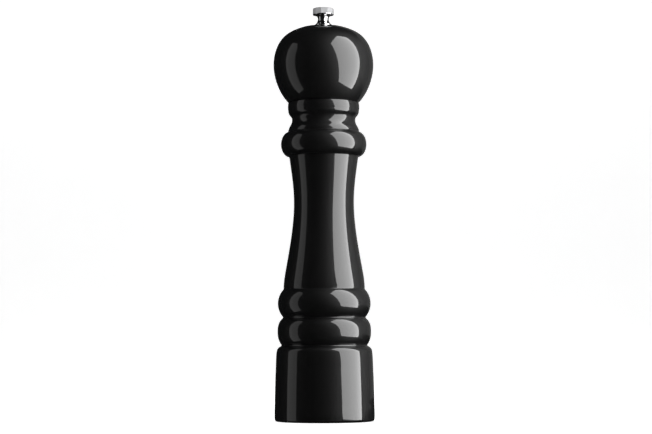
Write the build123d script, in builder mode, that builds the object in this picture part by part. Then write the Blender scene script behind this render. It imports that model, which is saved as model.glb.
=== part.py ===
"""Table pepper mill with a turned wooden body, a turning ball head and a knob-adjusted grinder.

Millimetres, +Z up, origin at the centre of the base on the surface that the mill stands on.
The front is the -Y side.
"""
from build123d import *
from math import atan2, cos, degrees, pi, sqrt
import os

# ------------------------------------------------------------------ driving dimensions (mm)

# Turned body: heights of the stretches of its outline, from the base up
cup_height = 54.9  # base to the groove under the lower bead
lower_bead_height = 20.7
upper_bead_height = 20.7
lower_shaft_height = 62.6  # upper bead to the waist
upper_shaft_height = 35.2  # waist to the ring
ring_height = 18.0
flare_height = 9.1  # ring to the neck
collar_cone_height = 6.2  # neck to the collar's lower edge
collar_band_height = 6.4

# Turned body: radii
base_radius = 36.5
base_round = 1.9
cup_top_radius = 35.05
cup_shoulder = 4.4  # height of the rounded shoulder at the cup's top
cup_groove_radius = 30.8
lower_bead_radius = 34.25
bead_haunch_radius = 33.6  # lower bead, either side of its middle
bead_haunch_reach = 5.3
bead_groove_radius = 29.9
upper_bead_radius = 34.0
shaft_foot_radius = 29.8
shaft_taper_radius = 28.3
shaft_taper_rise = 13.6  # shaft's foot up to where its taper is straight
shaft_mid_radius = 24.45
shaft_mid_rise = 36.0
waist_radius = 22.05
shaft_top_radius = 25.45
shaft_top_slope = 0.14
ring_radius = 31.5
ring_end_angle = 83.0  # degrees, where the ring's oval meets the neck's flare
collar_radius = 26.35
collar_bulge = 0.35  # collar's middle past its edges
collar_overhang = 3.05  # collar past the neck
collar_edge_round = 0.6
groove_cove = 0.9  # rounding at the bottom of the grooves beside the beads

# Bores of the body
outlet_radius = 26.0
outlet_depth = 10.0
burr_bore_radius = 19.5
hopper_radius = 14.5
socket_radius = 18.0
socket_depth = 17.3
socket_chamfer = 0.5

# Ball head
head_radius = 36.9
head_foot_radius = 25.7
head_foot_slope = 1.0
head_belly_radius = 33.95
head_belly_rise = 13.0
head_lower_height = 28.4  # foot up to the widest place
head_crown_height = 28.3  # widest place up to the flat seat of the knob's ring
crown_haunch_radius = 34.3
crown_haunch_rise = 13.0
crown_shoulder_radius = 25.6
crown_shoulder_rise = 23.3
crown_cap_radius = 16.2
crown_cap_rise = 27.3
crown_rim_slope = 0.08
seat_margin = 0.3
head_foot_round = 1.2
head_gap = 0.15
head_bore_radius = 5.0
tenon_clearance = 0.25
tenon_length = 13.0

# Knob and the ring under it
knob_sides = 10
knob_corner_radius = 7.8
knob_turned_by = 6.0  # degrees, places the facets
knob_rim_height = 4.9
knob_crown = 0.5
knob_edge = 0.4
knob_lip_radius = 7.75
knob_lip_height = 0.35
knob_cone_height = 3.1
knob_stem_radius = 4.0
knob_stem_height = 4.2
knob_foot_radius = 6.2
knob_foot_height = 0.7
knob_roof = 4.0
knob_clearance = 0.05
escutcheon_radius = 6.9
escutcheon_thickness = 0.9
escutcheon_round = 0.4
escutcheon_sleeve = 8.0
escutcheon_bore_radius = 3.2

# Spindle
spindle_square = 6.0
spindle_corner = 0.4
thread_radius = 2.5
thread_tip_chamfer = 0.5
stud_clearance = 1.5  # spindle's tip to the roof of the knob's bore
square_below_sleeve = 1.5
running_clearance = 0.06

# Grinder
bridge_thickness = 2.5
bridge_arms = 3
bridge_arm_width = 4.0
bridge_rim = 3.0
bridge_hub_radius = 7.5
burr_clearance = 0.3
bush_wall = 1.2
bush_flange = 1.0
bush_flange_radius = 6.8
spring_seat_thickness = 1.0
spring_seat_radius = 6.8
spring_length = 8.0
spring_radius = 5.3
spring_wire = 0.9
spring_pitch = 1.9
spring_end_gap = 0.05
stator_height = 30.0
stator_mouth_radius = 17.0
stator_throat_radius = 11.5
stator_exit_radius = 13.6
stator_exit_height = 8.0
rotor_drop = 1.0  # rotor's lower face below the stator's
rotor_top_radius = 6.2
grind_gap = 0.25
throat_gap = 0.6
coarse_grooves = 8
coarse_groove_width = 2.6
coarse_groove_depth = 1.6
fine_grooves = 24
fine_groove_width = 0.9
fine_groove_depth = 0.6
groove_slant = 18.0  # degrees
rotor_square_clearance = 0.05
square_in_rotor = 0.5  # rotor's lower face up to the start of the spindle's square
washer_radius = 5.5
washer_clearance = 0.2
washer_thickness = 1.0
lock_washer_radius = 4.6
lock_washer_slit = 0.8
nut_across_flats = 8.0
nut_height = 4.0
nut_bevel = 0.4
spindle_past_nut = 1.2
retainer_flange_radius = 25.4
retainer_thickness = 2.0
retainer_wall = 2.7
lug_count = 3
lug_width = 4.0
lug_height = 2.5
lug_clearance = 0.15

# Drive plate and screws
plate_radius = 13.0
plate_thickness = 2.0
plate_edge = 0.4
plate_square_clearance = 0.06
plate_screw_circle = 9.5
plate_screws = 2
retainer_screw_circle = 22.8
retainer_screw_count = 3
screw_radius = 1.1
screw_head_radius = 2.1
screw_head_height = 1.2
screw_length = 10.0
screw_slot_width = 0.6
screw_slot_depth = 0.6
screw_hole_clearance = 0.25

# ------------------------------------------------------------------ levels and fits

cup_top_z = cup_height
neck_radius = collar_radius - collar_overhang
collar_edge_radius = collar_radius - collar_bulge
lower_bead_z = cup_top_z + lower_bead_height / 2
beads_meet_z = cup_top_z + lower_bead_height
shaft_foot_z = beads_meet_z + upper_bead_height
waist_z = shaft_foot_z + lower_shaft_height
ring_foot_z = waist_z + upper_shaft_height
ring_top_z = ring_foot_z + ring_height
neck_z = ring_top_z + flare_height
collar_foot_z = neck_z + collar_cone_height
body_top_z = collar_foot_z + collar_band_height
socket_floor_z = body_top_z - socket_depth

head_foot_z = body_top_z + head_gap
head_waist_z = head_foot_z + head_lower_height
seat_z = head_waist_z + head_crown_height
tenon_radius = socket_radius - tenon_clearance
tenon_foot_z = head_foot_z - tenon_length
plate_foot_z = tenon_foot_z - plate_thickness

escutcheon_top_z = seat_z + escutcheon_thickness
sleeve_foot_z = seat_z - escutcheon_sleeve
knob_foot_z = escutcheon_top_z + knob_clearance
knob_stem_z = knob_foot_z + knob_foot_height + knob_stem_height
knob_rim_z = knob_stem_z + knob_cone_height
knob_top_z = knob_rim_z + knob_rim_height + knob_crown
knob_bore_top_z = knob_top_z - knob_roof
knob_dome_radius = knob_corner_radius * cos(pi / knob_sides) - knob_edge
thread_bore_radius = thread_radius + running_clearance

retainer_foot_z = outlet_depth - retainer_thickness
stator_foot_z = outlet_depth + stator_exit_height
stator_top_z = stator_foot_z + stator_height
bridge_top_z = stator_top_z + bridge_thickness
stator_throat_z = stator_foot_z + stator_exit_height
burr_radius = burr_bore_radius - burr_clearance
bush_bore_radius = (
    spindle_square / sqrt(2) - spindle_corner * (sqrt(2) - 1) + running_clearance
)
bush_radius = bush_bore_radius + bush_wall
bush_foot_z = stator_top_z - bush_flange
spring_seat_z = bush_foot_z - spring_seat_thickness
rotor_top_z = spring_seat_z - spring_length
rotor_foot_z = stator_foot_z - rotor_drop
exit_slope = (stator_exit_radius - stator_throat_radius) / stator_exit_height
rotor_exit_radius = stator_exit_radius - grind_gap
rotor_throat_radius = stator_throat_radius - throat_gap
rotor_foot_radius = rotor_exit_radius + exit_slope * rotor_drop
washer_foot_z = rotor_foot_z - washer_thickness
lock_washer_foot_z = washer_foot_z - washer_thickness
nut_foot_z = lock_washer_foot_z - nut_height
spindle_foot_z = nut_foot_z - spindle_past_nut
spindle_top_z = knob_bore_top_z - stud_clearance
square_foot_z = rotor_foot_z + square_in_rotor
square_top_z = sleeve_foot_z - square_below_sleeve
rotor_square = spindle_square + 2 * rotor_square_clearance
plate_square = spindle_square + 2 * plate_square_clearance


# ------------------------------------------------------------------ repeated features

on_its_foot = (Align.CENTER, Align.CENTER, Align.MIN)


def screw_ring(count, circle, seat_level, direction):
    """Slotted pan-head screws on a circle, their shanks pointing up or down from the seat."""
    with BuildPart() as screws:
        with BuildSketch(Plane.XY.offset(seat_level)):
            with PolarLocations(circle, count):
                Circle(screw_radius)
        extrude(amount=screw_length * direction)
        with BuildSketch(Plane.XY.offset(seat_level)):
            with PolarLocations(circle, count):
                Circle(screw_head_radius)
        extrude(amount=-screw_head_height * direction)
        with BuildSketch(Plane.XY.offset(seat_level - screw_head_height * direction)):
            with PolarLocations(circle, count):
                Rectangle(2 * screw_head_radius, screw_slot_width)
        extrude(amount=screw_slot_depth * direction, mode=Mode.SUBTRACT)
    return screws.part


def cut_cone_grooves(count, foot, top, width, depth):
    """Slanted grooves cut into a cone from its foot (radius, z) to its top (radius, z)."""
    run = top[0] - foot[0]
    rise = top[1] - foot[1]
    lean = degrees(atan2(run, rise))
    middle = ((foot[0] + top[0]) / 2, 0, (foot[1] + top[1]) / 2)
    length = 1.5 * sqrt(run**2 + rise**2)
    with PolarLocations(0, count):
        with Locations(Location(middle, (0, lean, 0))):
            with Locations(Location((0, 0, 0), (groove_slant, 0, 0))):
                Box(2 * depth, width, length, mode=Mode.SUBTRACT)


def bore_axis(foot_z, radius, length):
    """Round hole on the mill's axis, upwards from its foot."""
    with Locations((0, 0, foot_z)):
        Cylinder(radius, length, align=on_its_foot, mode=Mode.SUBTRACT)


def washer(foot_z, outer_radius, inner_radius, thickness):
    """Flat ring on the mill's axis."""
    with BuildPart() as ring:
        with BuildSketch(Plane.XY.offset(foot_z)):
            Circle(outer_radius)
            Circle(inner_radius, mode=Mode.SUBTRACT)
        extrude(amount=thickness)
    return ring


# ------------------------------------------------------------------ turned body

with BuildPart() as mill_body:
    with BuildSketch(Plane.XZ):
        with BuildLine():
            base = Line((0, 0), (base_radius, 0))
            cup = TangentArc(base @ 1, (cup_top_radius, cup_top_z - cup_shoulder), tangent=(0, 1))
            shoulder = TangentArc(cup @ 1, (cup_groove_radius, cup_top_z), tangent=cup % 1)
            lower_bead = Spline(
                shoulder @ 1,
                (bead_haunch_radius, lower_bead_z - bead_haunch_reach),
                (lower_bead_radius, lower_bead_z),
                (bead_haunch_radius, lower_bead_z + bead_haunch_reach),
                (bead_groove_radius, beads_meet_z),
            )
            upper_bead = ThreePointArc(
                lower_bead @ 1,
                (upper_bead_radius, beads_meet_z + upper_bead_height / 2),
                (shaft_foot_radius, shaft_foot_z),
            )
            shaft = Spline(
                upper_bead @ 1,
                (shaft_taper_radius, shaft_foot_z + shaft_taper_rise),
                (shaft_mid_radius, shaft_foot_z + shaft_mid_rise),
                (waist_radius, waist_z),
                (shaft_top_radius, ring_foot_z),
                tangents=[(0, 1), (shaft_top_slope, 1)],
            )
            ring = EllipticalCenterArc(
                (shaft_top_radius, ring_foot_z + ring_height / 2),
                ring_radius - shaft_top_radius,
                ring_height / 2,
                start_angle=-90,
                arc_size=90 + ring_end_angle,
            )
            flare = Spline(ring @ 1, (neck_radius, neck_z), tangents=[(0, 1), (0, 1)])
            collar_cone = Spline(
                flare @ 1, (collar_edge_radius, collar_foot_z), tangents=[(0, 1), (0, 1)]
            )
            collar_band = ThreePointArc(
                collar_cone @ 1,
                (collar_radius, collar_foot_z + collar_band_height / 2),
                (collar_edge_radius, body_top_z),
            )
            Polyline(collar_band @ 1, (0, body_top_z), (0, 0))
        make_face()
    revolve(axis=Axis.Z)
    grooves = mill_body.edges().filter_by(GeomType.CIRCLE)
    fillet(grooves.filter_by_position(Axis.Z, cup_top_z, shaft_foot_z), radius=groove_cove)
    fillet(mill_body.edges().group_by(Axis.Z)[0], radius=base_round)
    fillet(mill_body.edges().group_by(Axis.Z)[-1], radius=collar_edge_round)
    bore_axis(0, outlet_radius, outlet_depth)
    bore_axis(outlet_depth, burr_bore_radius, bridge_top_z - outlet_depth)
    bore_axis(bridge_top_z, hopper_radius, body_top_z - bridge_top_z)
    bore_axis(socket_floor_z, socket_radius, socket_depth)
    rims = mill_body.edges().filter_by(GeomType.CIRCLE).group_by(Axis.Z)[-1]
    chamfer(rims.sort_by(SortBy.RADIUS)[0], length=socket_chamfer)
    with BuildSketch(Plane.XY.offset(outlet_depth)):
        with PolarLocations(retainer_screw_circle, retainer_screw_count):
            Circle(screw_radius)
    extrude(amount=screw_length, mode=Mode.SUBTRACT)
mill_body.part.label = "mill_body"

# ------------------------------------------------------------------ grinder, held in the body

with BuildPart() as stator_ring:
    with BuildSketch(Plane.XY.offset(stator_foot_z)):
        Circle(burr_radius)
    extrude(amount=stator_height)
    with BuildSketch(Plane.XZ):
        with BuildLine():
            Polyline(
                (0, stator_foot_z),
                (stator_exit_radius, stator_foot_z),
                (stator_throat_radius, stator_throat_z),
                (stator_mouth_radius, stator_top_z),
                (0, stator_top_z),
                close=True,
            )
        make_face()
    revolve(axis=Axis.Z, mode=Mode.SUBTRACT)
    cut_cone_grooves(
        coarse_grooves,
        (stator_throat_radius, stator_throat_z),
        (stator_mouth_radius, stator_top_z),
        coarse_groove_width,
        coarse_groove_depth,
    )
    cut_cone_grooves(
        fine_grooves,
        (stator_exit_radius, stator_foot_z),
        (stator_throat_radius, stator_throat_z),
        fine_groove_width,
        fine_groove_depth,
    )
    with BuildSketch(Plane.XY.offset(stator_foot_z)):
        with PolarLocations(burr_radius - retainer_wall / 2, lug_count):
            Rectangle(retainer_wall - 2 * lug_clearance, lug_width)
    extrude(amount=-lug_height)
stator_ring.part.label = "stator_ring"

with BuildPart() as stator_retainer:
    with BuildSketch(Plane.XY.offset(retainer_foot_z)):
        Circle(retainer_flange_radius)
        Circle(burr_radius - retainer_wall, mode=Mode.SUBTRACT)
        with PolarLocations(retainer_screw_circle, retainer_screw_count):
            Circle(screw_radius + screw_hole_clearance, mode=Mode.SUBTRACT)
    extrude(amount=retainer_thickness)
    with BuildSketch(Plane.XY.offset(outlet_depth)):
        Circle(burr_radius)
        Circle(burr_radius - retainer_wall, mode=Mode.SUBTRACT)
    extrude(amount=stator_foot_z - outlet_depth)
    with BuildSketch(Plane.XY.offset(stator_foot_z)):
        with PolarLocations(burr_radius - retainer_wall / 2, lug_count):
            Rectangle(2 * retainer_wall, lug_width + 2 * lug_clearance)
    extrude(amount=-lug_height - lug_clearance, mode=Mode.SUBTRACT)
stator_retainer.part.label = "stator_retainer"

retainer_screws = screw_ring(retainer_screw_count, retainer_screw_circle, retainer_foot_z, 1)
retainer_screws.label = "retainer_screws"

with BuildPart() as bridge:
    with BuildSketch(Plane.XY.offset(stator_top_z)):
        Circle(burr_radius)
        Circle(burr_radius - bridge_rim, mode=Mode.SUBTRACT)
        with PolarLocations((burr_radius - bridge_rim / 2) / 2, bridge_arms):
            Rectangle(burr_radius - bridge_rim / 2, bridge_arm_width)
        Circle(bridge_hub_radius)
        Circle(bush_radius, mode=Mode.SUBTRACT)
    extrude(amount=bridge_thickness)
bridge.part.label = "bridge"

with BuildPart() as bridge_bush:
    with BuildSketch(Plane.XY.offset(bush_foot_z)):
        Circle(bush_flange_radius)
    extrude(amount=bush_flange)
    with BuildSketch(Plane.XY.offset(stator_top_z)):
        Circle(bush_radius)
    extrude(amount=bridge_thickness + bush_flange)
    bore_axis(bush_foot_z, bush_bore_radius, bridge_thickness + 2 * bush_flange)
bridge_bush.part.label = "bridge_bush"

# ------------------------------------------------------------------ seat and spring, turn with the head

spring_seat = washer(spring_seat_z, spring_seat_radius, bush_bore_radius, spring_seat_thickness)
spring_seat.part.label = "spring_seat"

with BuildPart() as grinder_spring:
    with BuildLine():
        coil = Helix(
            pitch=spring_pitch,
            height=spring_length - spring_wire - 2 * spring_end_gap,
            radius=spring_radius,
            center=(0, 0, rotor_top_z + spring_wire / 2 + spring_end_gap),
        )
    with BuildSketch(Plane(origin=coil @ 0, z_dir=coil % 0)):
        Circle(spring_wire / 2)
    sweep(is_frenet=True)
grinder_spring.part.label = "grinder_spring"

# ------------------------------------------------------------------ spindle and rotor

with BuildPart() as spindle:
    with BuildSketch(Plane.XY.offset(spindle_foot_z)):
        Circle(thread_radius)
    extrude(amount=spindle_top_z - spindle_foot_z)
    chamfer(
        spindle.edges().group_by(Axis.Z)[0] + spindle.edges().group_by(Axis.Z)[-1],
        length=thread_tip_chamfer,
    )
    with BuildSketch(Plane.XY.offset(square_foot_z)):
        RectangleRounded(spindle_square, spindle_square, spindle_corner)
    extrude(amount=square_top_z - square_foot_z)
spindle.part.label = "spindle"

with BuildPart() as rotor:
    with BuildSketch(Plane.XZ):
        with BuildLine():
            Polyline(
                (0, rotor_foot_z),
                (rotor_foot_radius, rotor_foot_z),
                (rotor_throat_radius, stator_throat_z),
                (rotor_top_radius, rotor_top_z),
                (0, rotor_top_z),
                close=True,
            )
        make_face()
    revolve(axis=Axis.Z)
    cut_cone_grooves(
        coarse_grooves,
        (rotor_throat_radius, stator_throat_z),
        (rotor_top_radius, rotor_top_z),
        coarse_groove_width,
        coarse_groove_depth,
    )
    cut_cone_grooves(
        fine_grooves,
        (rotor_foot_radius, rotor_foot_z),
        (rotor_throat_radius, stator_throat_z),
        fine_groove_width,
        fine_groove_depth,
    )
    with BuildSketch(Plane.XY.offset(rotor_foot_z)):
        Rectangle(rotor_square, rotor_square)
    extrude(amount=rotor_top_z - rotor_foot_z, mode=Mode.SUBTRACT)
rotor.part.label = "rotor"

rotor_washer = washer(
    washer_foot_z, washer_radius, thread_radius + washer_clearance, washer_thickness
)
rotor_washer.part.label = "rotor_washer"

with BuildPart() as rotor_lock_washer:
    with BuildSketch(Plane.XY.offset(lock_washer_foot_z)):
        Circle(lock_washer_radius)
        Circle(thread_radius + washer_clearance, mode=Mode.SUBTRACT)
        with Locations((lock_washer_radius / 2, 0)):
            Rectangle(lock_washer_radius, lock_washer_slit, mode=Mode.SUBTRACT)
    extrude(amount=washer_thickness)
rotor_lock_washer.part.label = "rotor_lock_washer"

with BuildPart() as rotor_nut:
    with BuildSketch(Plane.XY.offset(nut_foot_z)):
        RegularPolygon(nut_across_flats / 2, 6, major_radius=False)
    extrude(amount=nut_height)
    chamfer(rotor_nut.faces().sort_by(Axis.Z)[0].edges(), length=nut_bevel)
    bore_axis(nut_foot_z, thread_radius, nut_height)
rotor_nut.part.label = "rotor_nut"

# ------------------------------------------------------------------ head

with BuildPart() as head:
    with BuildSketch(Plane.XZ):
        with BuildLine():
            foot = Line((0, head_foot_z), (head_foot_radius, head_foot_z))
            ball = Spline(
                foot @ 1,
                (head_belly_radius, head_foot_z + head_belly_rise),
                (head_radius, head_waist_z),
                (crown_haunch_radius, head_waist_z + crown_haunch_rise),
                (crown_shoulder_radius, head_waist_z + crown_shoulder_rise),
                (crown_cap_radius, head_waist_z + crown_cap_rise),
                (escutcheon_radius + seat_margin, seat_z),
                tangents=[(head_foot_slope, 1), (-1, crown_rim_slope)],
            )
            Polyline(ball @ 1, (0, seat_z), foot @ 0)
        make_face()
    revolve(axis=Axis.Z)
    fillet(head.edges().group_by(Axis.Z)[0], radius=head_foot_round)
    with BuildSketch(Plane.XY.offset(head_foot_z)):
        Circle(tenon_radius)
    extrude(amount=-tenon_length)
    chamfer(head.edges().group_by(Axis.Z)[0], length=socket_chamfer)
    bore_axis(tenon_foot_z, head_bore_radius, seat_z - tenon_foot_z)
    with BuildSketch(Plane.XY.offset(tenon_foot_z)):
        with PolarLocations(plate_screw_circle, plate_screws):
            Circle(screw_radius)
    extrude(amount=screw_length - plate_thickness, mode=Mode.SUBTRACT)
head.part.label = "head"

with BuildPart() as drive_plate:
    with BuildSketch(Plane.XY.offset(plate_foot_z)):
        Circle(plate_radius)
    extrude(amount=plate_thickness)
    chamfer(drive_plate.edges().group_by(Axis.Z)[0], length=plate_edge)
    with BuildSketch(Plane.XY.offset(plate_foot_z)):
        Rectangle(plate_square, plate_square)
        with PolarLocations(plate_screw_circle, plate_screws):
            Circle(screw_radius + screw_hole_clearance)
    extrude(amount=plate_thickness, mode=Mode.SUBTRACT)
drive_plate.part.label = "drive_plate"

drive_plate_screws = screw_ring(plate_screws, plate_screw_circle, plate_foot_z, 1)
drive_plate_screws.label = "drive_plate_screws"

with BuildPart() as knob_escutcheon:
    with BuildSketch(Plane.XY.offset(seat_z)):
        Circle(escutcheon_radius)
    extrude(amount=escutcheon_thickness)
    fillet(knob_escutcheon.edges().group_by(Axis.Z)[-1], radius=escutcheon_round)
    with BuildSketch(Plane.XY.offset(seat_z)):
        Circle(head_bore_radius)
    extrude(amount=-escutcheon_sleeve)
    bore_axis(sleeve_foot_z, escutcheon_bore_radius, escutcheon_sleeve + escutcheon_thickness)
knob_escutcheon.part.label = "knob_escutcheon"

# ------------------------------------------------------------------ knob

with BuildPart() as knob:
    with BuildSketch(Plane.XZ):
        with BuildLine():
            foot = Polyline(
                (0, knob_foot_z),
                (knob_foot_radius, knob_foot_z),
                (knob_foot_radius, knob_foot_z + knob_foot_height),
            )
            waist = TangentArc((knob_stem_radius, knob_stem_z), foot @ 1, tangent=(0, -1))
            cone = TangentArc(waist @ 0, (knob_lip_radius, knob_rim_z), tangent=(0, 1))
            Polyline(
                cone @ 1,
                (knob_lip_radius, knob_rim_z + knob_lip_height),
                (0, knob_rim_z + knob_lip_height),
                foot @ 0,
            )
        make_face()
    revolve(axis=Axis.Z)
    with BuildSketch(Plane.XY.offset(knob_rim_z)):
        RegularPolygon(knob_corner_radius, knob_sides, rotation=knob_turned_by)
    extrude(amount=knob_rim_height)
    chamfer(knob.faces().sort_by(Axis.Z)[-1].edges(), length=knob_edge)
    with BuildSketch(Plane.XZ):
        with BuildLine():
            dome = TangentArc(
                (0, knob_top_z), (knob_dome_radius, knob_rim_z + knob_rim_height), tangent=(1, 0)
            )
            Polyline(dome @ 1, (0, knob_rim_z + knob_rim_height), dome @ 0)
        make_face()
    revolve(axis=Axis.Z)
    bore_axis(knob_foot_z, thread_bore_radius, knob_bore_top_z - knob_foot_z)
knob.part.label = "knob"

# ------------------------------------------------------------------ files

pieces = [
    mill_body.part,
    stator_ring.part,
    stator_retainer.part,
    retainer_screws,
    bridge.part,
    bridge_bush.part,
    spring_seat.part,
    grinder_spring.part,
    spindle.part,
    rotor.part,
    rotor_washer.part,
    rotor_lock_washer.part,
    rotor_nut.part,
    head.part,
    drive_plate.part,
    drive_plate_screws,
    knob_escutcheon.part,
    knob.part,
]
os.makedirs("parts", exist_ok=True)
for piece in pieces:
    export_step(piece, f"parts/{piece.label}.step")
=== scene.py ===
"""Looks of the pepper mill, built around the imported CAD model. Metres, in the CAD model's frame.

The turned wood and the ring under the knob are rebuilt as fine meshes from the CAD nodes' own
outlines. The spindle is rebuilt with cut threads. The knob keeps its CAD faces with two finishes,
and the grinder's small pieces keep their CAD meshes and get materials of their own.
"""
from math import atan2, cos, degrees, hypot, pi, radians, sin

import bpy
import bmesh
from mathutils import Matrix, Vector


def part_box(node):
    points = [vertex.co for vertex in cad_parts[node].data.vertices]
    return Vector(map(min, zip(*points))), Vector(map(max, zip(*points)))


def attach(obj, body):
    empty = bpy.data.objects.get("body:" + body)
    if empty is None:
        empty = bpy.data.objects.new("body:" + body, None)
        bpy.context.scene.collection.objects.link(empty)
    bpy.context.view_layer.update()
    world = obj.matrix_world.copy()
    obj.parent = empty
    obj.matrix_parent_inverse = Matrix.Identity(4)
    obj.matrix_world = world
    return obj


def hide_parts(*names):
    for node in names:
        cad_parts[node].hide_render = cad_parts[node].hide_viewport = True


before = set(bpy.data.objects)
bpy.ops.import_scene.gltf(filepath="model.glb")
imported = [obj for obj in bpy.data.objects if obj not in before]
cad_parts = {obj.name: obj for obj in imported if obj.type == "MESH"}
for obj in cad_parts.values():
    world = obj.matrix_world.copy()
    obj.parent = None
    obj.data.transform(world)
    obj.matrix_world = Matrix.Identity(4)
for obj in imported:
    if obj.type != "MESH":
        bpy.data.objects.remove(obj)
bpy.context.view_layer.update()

MM = 0.001


# ------------------------------------------------------------------ node helpers


class Nodes:
    """A short way to build one material's node tree."""

    def __init__(self, name):
        self.material = bpy.data.materials.new(name)
        self.material.use_nodes = True
        self.tree = self.material.node_tree
        self.shader = self.tree.nodes["Principled BSDF"]
        self.place = self.add("ShaderNodeTexCoord").outputs["Object"]

    def add(self, kind, **settings):
        node = self.tree.nodes.new(kind)
        for key, value in settings.items():
            setattr(node, key, value)
        return node

    def link(self, out, socket):
        self.tree.links.new(out, socket)

    def set(self, **sockets):
        """Sets the shader's own sockets; an underscore in a name stands for a space."""
        for key, value in sockets.items():
            self.shader.inputs[key.replace("_", " ")].default_value = value

    def stretched(self, scale):
        """The object's coordinates, scaled by one factor for each axis."""
        node = self.add("ShaderNodeMapping")
        node.inputs["Scale"].default_value = scale
        self.link(self.place, node.inputs["Vector"])
        return node.outputs["Vector"]

    def noise(self, scale, detail=3.0, roughness=0.5, stretch=(1, 1, 1), distortion=0.0):
        node = self.add("ShaderNodeTexNoise")
        node.inputs["Scale"].default_value = scale
        node.inputs["Detail"].default_value = detail
        node.inputs["Roughness"].default_value = roughness
        node.inputs["Distortion"].default_value = distortion
        self.link(self.stretched(stretch), node.inputs["Vector"])
        return node.outputs["Fac"]

    def ramp(self, value, stops):
        """A colour ramp with (position, colour) stops."""
        node = self.add("ShaderNodeValToRGB")
        elements = node.color_ramp.elements
        while len(elements) < len(stops):
            elements.new(0.5)
        for element, (position, colour) in zip(elements, stops):
            element.position = position
            element.color = (*colour, 1)
        self.link(value, node.inputs["Fac"])
        return node.outputs["Color"]

    def spread(self, value, low, high):
        """Maps 0..1 to low..high."""
        node = self.add("ShaderNodeMapRange")
        node.inputs["To Min"].default_value = low
        node.inputs["To Max"].default_value = high
        self.link(value, node.inputs["Value"])
        return node.outputs["Result"]

    def bump(self, height, depth, before=None):
        """A bump whose full height is depth metres."""
        node = self.add("ShaderNodeBump")
        node.inputs["Strength"].default_value = 1.0
        node.inputs["Distance"].default_value = depth
        self.link(height, node.inputs["Height"])
        if before is not None:
            self.link(before, node.inputs["Normal"])
        return node.outputs["Normal"]


# ------------------------------------------------------------------ materials


def black_lacquer():
    """Black high-gloss lacquer over turned wood: a faint orange peel, lathe waves and grain."""
    n = Nodes("black_lacquer")
    grain = n.noise(60, 6, 0.6, stretch=(6, 6, 0.5))
    n.link(n.ramp(grain, [(0.3, (0.0010, 0.0010, 0.0011)), (0.75, (0.0022, 0.0021, 0.0021))]),
           n.shader.inputs["Base Color"])
    n.set(Roughness=0.5, IOR=1.5, Specular_IOR_Level=0.21, Coat_Weight=1.0, Coat_IOR=1.5)
    n.set(Coat_Roughness=0.015)
    peel = n.bump(n.noise(420, 2, 0.4), 0.0000035)
    waves = n.bump(n.noise(90, 1, 0.3, stretch=(0.15, 0.15, 1.6)), 0.00002, before=peel)
    n.link(waves, n.shader.inputs["Coat Normal"])
    n.link(n.bump(grain, 0.00002), n.shader.inputs["Normal"])
    return n.material


def raw_wood():
    """Bare turned beech of the bores and the tenon: pale, with long grain and short flecks."""
    n = Nodes("raw_beech")
    bands = n.noise(30, 5, 0.6, stretch=(5, 5, 0.35), distortion=0.4)
    flecks = n.noise(260, 3, 0.6, stretch=(3, 3, 0.35))
    tones = [(0.3, (0.36, 0.20, 0.10)), (0.55, (0.50, 0.31, 0.17)), (0.8, (0.60, 0.40, 0.24))]
    colour = n.ramp(bands, tones)
    dark = n.ramp(flecks, [(0.36, (0.55, 0.45, 0.38)), (0.46, (1, 1, 1))])
    mix = n.add("ShaderNodeMix", data_type="RGBA", blend_type="MULTIPLY")
    mix.inputs["Factor"].default_value = 0.7
    n.link(colour, mix.inputs[6])
    n.link(dark, mix.inputs[7])
    n.link(mix.outputs[2], n.shader.inputs["Base Color"])
    n.link(n.spread(flecks, 0.55, 0.8), n.shader.inputs["Roughness"])
    n.link(n.bump(flecks, 0.00006), n.shader.inputs["Normal"])
    return n.material


def metal(name, dark, light, rough, scale=300, stretch=(1, 1, 1), bump=0.000004, metallic=1.0):
    """A metal whose colour and roughness vary with one noise, between the two values of each."""
    n = Nodes(name)
    n.set(Metallic=metallic)
    marks = n.noise(scale, 4, 0.6, stretch=stretch)
    n.link(n.ramp(marks, [(0.3, dark), (0.7, light)]), n.shader.inputs["Base Color"])
    n.link(n.spread(marks, *rough), n.shader.inputs["Roughness"])
    n.link(n.bump(marks, bump), n.shader.inputs["Normal"])
    return n.material


def plastic(name, dark, light, rough):
    """Moulded nylon with a fine texture."""
    n = Nodes(name)
    cloud = n.noise(150, 4, 0.6)
    n.link(n.ramp(cloud, [(0.3, dark), (0.7, light)]), n.shader.inputs["Base Color"])
    n.link(n.spread(cloud, *rough), n.shader.inputs["Roughness"])
    n.link(n.bump(n.noise(1500, 2, 0.5), 0.00001), n.shader.inputs["Normal"])
    return n.material


LACQUER = black_lacquer()
WOOD = raw_wood()
CHROME = metal("polished_chrome", (0.60, 0.60, 0.61), (0.70, 0.70, 0.71), (0.03, 0.08), 500, bump=0.000001)
SATIN = metal("satin_chrome", (0.38, 0.38, 0.39), (0.48, 0.48, 0.49), (0.62, 0.75), 400,
              stretch=(1, 1, 14), bump=0.000004, metallic=0.35)
BAR = metal("drawn_steel_bar", (0.42, 0.42, 0.43), (0.58, 0.58, 0.59), (0.18, 0.34), 700,
            stretch=(6, 6, 0.15), bump=0.000003)
BURR = metal("hardened_burr_steel", (0.13, 0.13, 0.135), (0.27, 0.265, 0.26), (0.32, 0.5), 420, bump=0.00001)
ZINC = metal("zinc_plated_steel", (0.44, 0.45, 0.47), (0.60, 0.61, 0.62), (0.22, 0.36), 260, bump=0.000005)
ALUMINIUM = metal("satin_aluminium", (0.60, 0.60, 0.61), (0.72, 0.72, 0.73), (0.28, 0.42), 500,
                  bump=0.000005)
SPRING = metal("spring_wire", (0.36, 0.36, 0.37), (0.52, 0.52, 0.53), (0.16, 0.28), 900, bump=0.000002)
NYLON = plastic("natural_nylon", (0.60, 0.57, 0.50), (0.72, 0.69, 0.62), (0.38, 0.5))
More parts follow.
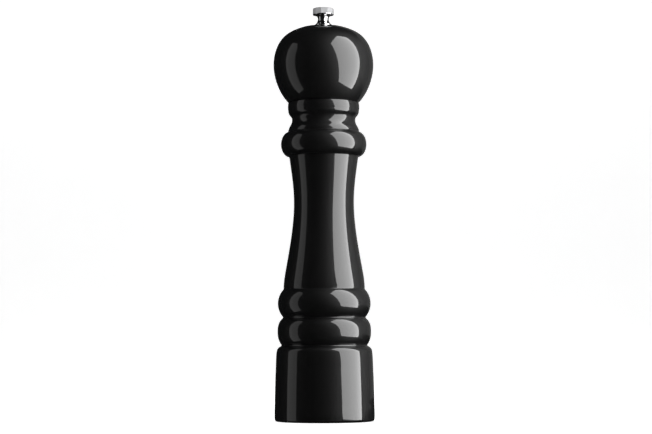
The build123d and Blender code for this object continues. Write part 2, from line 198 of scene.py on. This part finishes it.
BLACK_NYLON = plastic("black_nylon", (0.012, 0.012, 0.013), (0.03, 0.03, 0.032), (0.42, 0.55))

CAD_MATERIALS = {
    "stator_ring": BURR,
    "rotor": BURR,
    "stator_retainer": BLACK_NYLON,
    "retainer_screws": ZINC,
    "bridge": ZINC,
    "bridge_bush": NYLON,
    "spring_seat": ZINC,
    "grinder_spring": SPRING,
    "rotor_washer": ZINC,
    "rotor_lock_washer": ZINC,
    "rotor_nut": ZINC,
    "drive_plate": ALUMINIUM,
    "drive_plate_screws": ZINC,
}
for node_name, material in CAD_MATERIALS.items():
    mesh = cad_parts[node_name].data
    mesh.materials.clear()
    mesh.materials.append(material)


# ------------------------------------------------------------------ turned shapes


CORNER_ANGLE = 24  # degrees, where the outline has an edge rather than a curve
CORNER_POINTS = 5
EASE_SHARE = 0.3  # most of a stretch's length that an eased corner may take
ON_SEAM = 2e-6  # metres


def seam_outline(node):
    """The closed (r, z) outline of a turned CAD node, read along its seam on the +X side, in metres."""
    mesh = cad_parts[node].data
    on_seam = {
        v.index: (round(v.co.x, 6), round(v.co.z, 6))
        for v in mesh.vertices if v.co.x > 0 and abs(v.co.y) < ON_SEAM
    }
    links = {}
    for edge in mesh.edges:
        a, b = (on_seam.get(i) for i in edge.vertices)
        if a and b and a != b:
            links.setdefault(a, set()).add(b)
            links.setdefault(b, set()).add(a)
    ends = sorted(p for p, near in links.items() if len(near) == 1)
    here = ends[0] if ends else min(links)
    before, chain = None, []
    while here is not None and here not in chain:
        chain.append(here)
        onward = sorted(p for p in links[here] if p != before and p not in chain)
        before, here = here, (onward[0] if onward else None)
    # where a screw's blind hole crosses the seam, the chain ends at its two bottoms: leave it out
    return chain[1:-1] if ends else chain


def turn_at(a, b, c):
    """How far the outline turns at b, in degrees."""
    first = atan2(b[1] - a[1], b[0] - a[0])
    second = atan2(c[1] - b[1], c[0] - b[0])
    return abs(degrees((second - first + pi) % (2 * pi) - pi))


def eased(points, step):
    """Points along a smooth curve through the given ones, a step apart at most."""
    if len(points) == 2:
        (r0, z0), (r1, z1) = points
        count = max(1, int(hypot(r1 - r0, z1 - z0) / (4 * step)))
        return [(r0 + (r1 - r0) * i / count, z0 + (z1 - z0) * i / count) for i in range(count + 1)]
    p = [Vector(q) for q in points]
    gaps = [(b - a).length for a, b in zip(p, p[1:])]
    slopes = [(b - a) / g for a, b, g in zip(p, p[1:], gaps)]
    tangents = []
    for i in range(len(p)):
        if i == 0:
            tangents.append(slopes[0] + (slopes[0] - slopes[1]) * gaps[0] / (gaps[0] + gaps[1]))
        elif i == len(p) - 1:
            tangents.append(slopes[-1] + (slopes[-1] - slopes[-2]) * gaps[-1] / (gaps[-1] + gaps[-2]))
        else:
            share = gaps[i - 1] / (gaps[i - 1] + gaps[i])
            tangents.append(slopes[i - 1] * (1 - share) + slopes[i] * share)
    made = [tuple(p[0])]
    for i, gap in enumerate(gaps):
        count = max(1, int(gap / step) + 1)
        for k in range(1, count + 1):
            t = k / count
            at = ((2 * t**3 - 3 * t**2 + 1) * p[i] + (t**3 - 2 * t**2 + t) * gap * tangents[i]
                  + (3 * t**2 - 2 * t**3) * p[i + 1] + (t**3 - t**2) * gap * tangents[i + 1])
            made.append(tuple(at))
    return made


def fine_outline(outline, step, ease):
    """The closed outline with smooth stretches between its corners, each corner a small curve."""
    n = len(outline)
    corners = [
        i for i in range(n)
        if turn_at(outline[i - 1], outline[i], outline[(i + 1) % n]) > CORNER_ANGLE
    ]
    curves = []
    for here, onward in zip(corners, corners[1:] + [corners[0] + n]):
        curves.append(eased([outline[i % n] for i in range(here, onward + 1)], step))
    made = []
    for before, after in zip([curves[-1]] + curves[:-1], curves):
        made.extend(eased_corner(before, after, ease))
        made.extend(trimmed(after, ease))
    return made


def length_of(curve):
    return sum(hypot(b[0] - a[0], b[1] - a[1]) for a, b in zip(curve, curve[1:]))


def cut_back(curve, reach):
    """The point that lies a reach along the curve."""
    left = reach
    for a, b in zip(curve, curve[1:]):
        gap = hypot(b[0] - a[0], b[1] - a[1])
        if gap >= left:
            return (a[0] + (b[0] - a[0]) * left / gap, a[1] + (b[1] - a[1]) * left / gap)
        left -= gap
    return curve[-1]


def trimmed(curve, ease):
    """The curve's inner points, without the ends that the eased corners take."""
    reach = min(ease, EASE_SHARE * length_of(curve))
    kept, gone = [], 0.0
    total = length_of(curve)
    for a, b in zip(curve, curve[1:]):
        gone += hypot(b[0] - a[0], b[1] - a[1])
        if reach * 1.05 < gone < total - reach * 1.05:
            kept.append(b)
    return kept


def eased_corner(before, after, ease):
    """The points that round the corner where two curves meet."""
    start = cut_back(before[::-1], min(ease, EASE_SHARE * length_of(before)))
    corner = after[0]
    end = cut_back(after, min(ease, EASE_SHARE * length_of(after)))
    made = []
    for i in range(CORNER_POINTS):
        t = i / (CORNER_POINTS - 1)
        made.append(tuple(
            (1 - t)**2 * start[k] + 2 * t * (1 - t) * corner[k] + t**2 * end[k] for k in (0, 1)
        ))
    return made


def new_object(name, mesh):
    made = bpy.data.objects.new(name, mesh)
    bpy.context.scene.collection.objects.link(made)
    return made


def from_grid(name, rings, closed):
    """A mesh through rings of points: closed joins the last ring to the first, else ends are capped."""
    around = len(rings[0])
    points = [p for ring in rings for p in ring]
    faces = []
    for i in range(len(rings) if closed else len(rings) - 1):
        low, high = i * around, (i + 1) % len(rings) * around
        for k in range(around):
            onward = (k + 1) % around
            faces.append((low + k, low + onward, high + onward, high + k))
    if not closed:
        faces.append(tuple(range(around))[::-1])
        faces.append(tuple(range((len(rings) - 1) * around, len(rings) * around)))
    mesh = bpy.data.meshes.new(name)
    mesh.from_pydata(points, [], faces)
    tidy = bmesh.new()
    tidy.from_mesh(mesh)
    bmesh.ops.recalc_face_normals(tidy, faces=tidy.faces)
    tidy.to_mesh(mesh)
    tidy.free()
    mesh.polygons.foreach_set("use_smooth", [True] * len(mesh.polygons))
    return new_object(name, mesh)


def turned(name, node, step, ease, around):
    """A CAD node's outline turned into a fine closed mesh, kept within the node's own heights."""
    seam = seam_outline(node)
    foot, top = min(z for r, z in seam), max(z for r, z in seam)
    outline = [(r, min(max(z, foot), top)) for r, z in fine_outline(seam, step, ease)]
    rings = [
        [(r * cos(2 * pi * k / around), r * sin(2 * pi * k / around), z) for k in range(around)]
        for r, z in outline
    ]
    return from_grid(name, rings, closed=True)


WOOD_STEP = 0.6 * MM
WOOD_AROUND = 288

# where the wood is bare; the walls are just outside the CAD's, so that their faces count
OUTLET_WALL = 26.05 * MM
OUTLET_FLOOR = 10.05 * MM
BORE_WALL = 18.6 * MM  # hopper and socket; the burrs' wider bore, behind the stator, stays lacquered
BORE_START = 9 * MM  # below the outlet's floor
TENON_WALL = 17.9 * MM
TENON_RISE = 2 * MM  # above the body's top
HEAD_BORE_WALL = 5.1 * MM

mill_wood = turned("mill_wood", "mill_body", step=WOOD_STEP, ease=0.3 * MM, around=WOOD_AROUND)
mill_wood.data.materials.append(LACQUER)
mill_wood.data.materials.append(WOOD)
for face in mill_wood.data.polygons:
    r = hypot(face.center.x, face.center.y)
    outlet = r < OUTLET_WALL and face.center.z < OUTLET_FLOOR
    bore = r < BORE_WALL and face.center.z > BORE_START
    face.material_index = 1 if outlet or bore else 0
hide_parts("mill_body")
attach(mill_wood, "body")

ball_head = turned("ball_head", "head", step=WOOD_STEP, ease=0.25 * MM, around=WOOD_AROUND)
ball_head.data.materials.append(LACQUER)
ball_head.data.materials.append(WOOD)
body_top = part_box("mill_body")[1].z
for face in ball_head.data.polygons:
    r = hypot(face.center.x, face.center.y)
    tenon = r < TENON_WALL and face.center.z < body_top + TENON_RISE
    bore = r < HEAD_BORE_WALL
    face.material_index = 1 if tenon or bore else 0
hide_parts("head")
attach(ball_head, "head")

ring = turned("knob_ring", "knob_escutcheon", step=0.15 * MM, ease=0.05 * MM, around=160)
ring.data.materials.append(CHROME)
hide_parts("knob_escutcheon")
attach(ring, "head")

# knob: the CAD node's own faces, satin on the facets and the top and polished below
KNOB_RIM = 5.4 * MM  # height of the facets and the crown
POLISHED_EDGE = 0.45 * MM  # the rim's lowest part, polished like the stem
knob_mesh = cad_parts["knob"].data.copy()
knob_mesh.name = "grind_knob"
knob_mesh.materials.clear()
knob_mesh.materials.append(SATIN)
knob_mesh.materials.append(CHROME)
satin_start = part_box("knob")[1].z - KNOB_RIM + POLISHED_EDGE
for face in knob_mesh.polygons:
    face.material_index = 0 if face.center.z > satin_start else 1
grind_knob = new_object("grind_knob", knob_mesh)
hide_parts("knob")
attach(grind_knob, "knob")


# ------------------------------------------------------------------ spindle with cut threads


THREAD_RADIUS = 2.5 * MM
THREAD_DEPTH = 0.42 * MM
THREAD_PITCH = 0.8 * MM
THREAD_FLANK = 1.25  # steepness of the flanks; over 1 it leaves a flat crest
THREAD_ROWS = 10  # rings to a pitch
THREAD_FADE = 0.6  # pitches over which the thread runs out at each end
TIP_RADIUS = 1.9 * MM
TIP_BEVEL = 0.5 * MM
SPINDLE_AROUND = 96
SQUARENESS = 40  # power of the bar's rounded square
SQUARE_CORNER = 0.17 * MM
SQUARE_CHAMFER = 0.3 * MM
SQUARE_INTO_ROTOR = 0.5 * MM
SQUARE_BELOW_RING = 1.5 * MM


def round_ring(radius, z):
    """One round ring of the spindle."""
    turns = [2 * pi * k / SPINDLE_AROUND for k in range(SPINDLE_AROUND)]
    return [(radius * cos(turn), radius * sin(turn), z) for turn in turns]


def thread_rings(foot, top):
    """Rings of a cylinder with a cut thread between two heights."""
    rows = int((top - foot) / THREAD_PITCH * THREAD_ROWS)
    run_out = THREAD_FADE * THREAD_PITCH
    made = []
    for i in range(rows + 1):
        z = foot + (top - foot) * i / rows
        fade = min(1.0, (z - foot) / run_out, (top - z) / run_out)
        ring = []
        for k in range(SPINDLE_AROUND):
            turn = k / SPINDLE_AROUND
            wave = abs(((z / THREAD_PITCH - turn) % 1) * 2 - 1)
            r = THREAD_RADIUS - THREAD_DEPTH * (1 - min(1.0, THREAD_FLANK * wave)) * fade
            ring.append((r * cos(2 * pi * turn), r * sin(2 * pi * turn), z))
        made.append(ring)
    return made


def square_rings(foot, top, half):
    """Rings of a square bar with rounded corners and chamfered ends."""
    bevel = SQUARE_CHAMFER
    made = []
    for z, shrink in ((foot, bevel), (foot + bevel, 0), (top - bevel, 0), (top, bevel)):
        ring = []
        for k in range(SPINDLE_AROUND):
            turn = 2 * pi * k / SPINDLE_AROUND
            c, s = cos(turn), sin(turn)
            power = (abs(c)**SQUARENESS + abs(s)**SQUARENESS) ** (1 / SQUARENESS)
            r = min((half - shrink) / power, (half - shrink) * 2**0.5 - SQUARE_CORNER)
            ring.append((r * c, r * s, z))
        made.append(ring)
    return made


spindle_low, spindle_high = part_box("spindle")
square_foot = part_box("rotor")[0].z + SQUARE_INTO_ROTOR
square_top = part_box("knob_escutcheon")[0].z - SQUARE_BELOW_RING
rings = [round_ring(TIP_RADIUS, spindle_low.z)]
rings += thread_rings(spindle_low.z + TIP_BEVEL, square_foot)
rings += square_rings(square_foot, square_top, spindle_high.x)
rings += thread_rings(square_top, spindle_high.z - TIP_BEVEL)
rings += [round_ring(TIP_RADIUS, spindle_high.z)]
spindle_rod = from_grid("spindle_rod", rings, closed=False)
spindle_rod.data.materials.append(BAR)
spindle_rod.data.set_sharp_from_angle(angle=radians(35))
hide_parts("spindle")
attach(spindle_rod, "spindle")


# ------------------------------------------------------------------ stage, lights and camera


def paper_white():
    """A matt near-white surface that also glows a little."""
    n = Nodes("paper_white")
    n.set(Roughness=0.9, Specular_IOR_Level=0.0, Emission_Strength=0.55)
    n.set(Base_Color=(0.93, 0.93, 0.93, 1), Emission_Color=(1, 1, 1, 1))
    return n.material


def sweep():
    """A floor that rises in a wide curve into a backdrop behind the mill, hidden from reflections."""
    half, front, back, rise, top = 3.0, -2.6, 1.6, 0.8, 3.2
    steps = 24
    line = [(front, 0.0), (back, 0.0)]
    for i in range(1, steps + 1):
        a = pi / 2 * i / steps
        line.append((back + rise * sin(a), rise * (1 - cos(a))))
    line.append((back + rise, top))
    drop = -0.02 * MM
    points = [(x, y, z + drop) for y, z in line for x in (-half, half)]
    faces = [(2 * i, 2 * i + 1, 2 * i + 3, 2 * i + 2) for i in range(len(line) - 1)]
    mesh = bpy.data.meshes.new("studio_sweep")
    mesh.from_pydata(points, [], faces)
    mesh.polygons.foreach_set("use_smooth", [True] * len(mesh.polygons))
    made = new_object("studio_sweep", mesh)
    made.data.materials.append(paper_white())
    made.visible_glossy = False


def glow_panel(name, azimuth, distance, outline, radiances):
    """An upright glowing panel that faces the mill, seen in reflections only.

    azimuth is in degrees, from the camera's side towards the right. outline is the panel's (across,
    height) corners, and radiances are (across, radiance) stops; both run across the panel in metres.
    """
    a = radians(azimuth)
    middle = Vector((sin(a), -cos(a), 0)) * distance
    along = Vector((cos(a), sin(a), 0))
    mesh = bpy.data.meshes.new(name)
    corners = [tuple(middle + along * w + Vector((0, 0, z))) for w, z in outline]
    mesh.from_pydata(corners, [], [tuple(range(len(corners)))])
    left = min(w for w, z in outline)
    width = max(w for w, z in outline) - left
    layer = mesh.uv_layers.new(name="UVMap")
    for corner, (w, z) in zip(layer.data, outline):
        corner.uv = ((w - left) / width, z)
    made = new_object(name, mesh)
    material = bpy.data.materials.new(name)
    material.use_nodes = True
    tree = material.node_tree
    tree.nodes.clear()
    end = tree.nodes.new("ShaderNodeOutputMaterial")
    glow = tree.nodes.new("ShaderNodeEmission")
    tree.links.new(glow.outputs["Emission"], end.inputs["Surface"])
    place = tree.nodes.new("ShaderNodeTexCoord")
    apart = tree.nodes.new("ShaderNodeSeparateXYZ")
    tree.links.new(place.outputs["UV"], apart.inputs["Vector"])
    ramp = tree.nodes.new("ShaderNodeValToRGB")
    tree.links.new(apart.outputs["X"], ramp.inputs["Fac"])
    brightest = max(value for w, value in radiances)
    elements = ramp.color_ramp.elements
    while len(elements) < len(radiances):
        elements.new(0.5)
    for element, (w, value) in zip(elements, radiances):
        element.position = (w - left) / width
        element.color = (*[value / brightest] * 3, 1)
    tree.links.new(ramp.outputs["Color"], glow.inputs["Color"])
    glow.inputs["Strength"].default_value = brightest
    made.data.materials.append(material)
    made.visible_camera = False
    made.visible_shadow = False
    made.visible_diffuse = False


def area_light(name, place, target, size, power):
    """A rectangular light aimed at a target, hidden from reflections."""
    light = bpy.data.lights.new(name, "AREA")
    light.shape = "RECTANGLE"
    light.size, light.size_y = size
    light.energy = power
    made = new_object(name, light)
    made.location = place
    aim = Vector(target) - Vector(place)
    made.rotation_euler = aim.to_track_quat("-Z", "Y").to_euler()
    made.visible_glossy = False


# the panels' (across, height) corners in metres, set so that the lacquer's highlights lie where
# they do in the photo
KEY_OUTLINE = [(-0.2, -0.05), (0.175, -0.05), (0.145, 0.30), (0.135, 0.84), (-0.03, 1.13), (-0.44, 0.81)]
STRIP_OUTLINE = [(-0.148, -0.35), (0.148, -0.35), (0.150, 0.60), (0.06, 0.76), (-0.13, 0.76)]
CARD_OUTLINE = [(-0.6, 0.0), (0.6, 0.0), (0.6, 0.9), (-0.6, 0.9)]

# (across, radiance) stops
KEY_GLOW = [(-0.44, 4.6), (-0.1, 5.6), (0.04, 6.7), (0.18, 9.8)]

sweep()
glow_panel("key_softbox", 68, 0.40, KEY_OUTLINE, KEY_GLOW)
glow_panel("left_strip", -80.5, 0.60, STRIP_OUTLINE, [(-0.14, 0.62), (0.14, 0.52)])
glow_panel("grey_card", 140, 0.80, CARD_OUTLINE, [(-0.6, 0.16), (0.6, 0.12)])
area_light("overhead", (0.0, -0.2, 1.6), (0, 0, 0), (1.8, 1.8), 26)
area_light("front_fill", (-0.5, -1.6, 0.9), (0, 0, 0.12), (1.2, 0.8), 5)

world = bpy.data.worlds.new("studio_dim")
bpy.context.scene.world = world
world.use_nodes = True
world.node_tree.nodes["Background"].inputs["Color"].default_value = (0.9, 0.95, 1, 1)
world.node_tree.nodes["Background"].inputs["Strength"].default_value = 0.012

CAMERA_PLACE = (0.0015, -1.330, 0.0588)
CAMERA_TILT = 3.9  # degrees up from level
CAMERA_ROLL = -0.2  # degrees

camera_data = bpy.data.cameras.new("camera")
camera_data.sensor_width = 36
camera_data.lens = 100
camera_data.clip_start = 0.05
camera_data.clip_end = 20
camera = new_object("camera", camera_data)
camera.location = CAMERA_PLACE
camera.rotation_euler = (Matrix.Rotation(radians(90 + CAMERA_TILT), 4, "X")
                         @ Matrix.Rotation(radians(CAMERA_ROLL), 4, "Z")).to_euler()
bpy.context.scene.camera = camera
bpy.context.scene.view_settings.view_transform = "Standard"
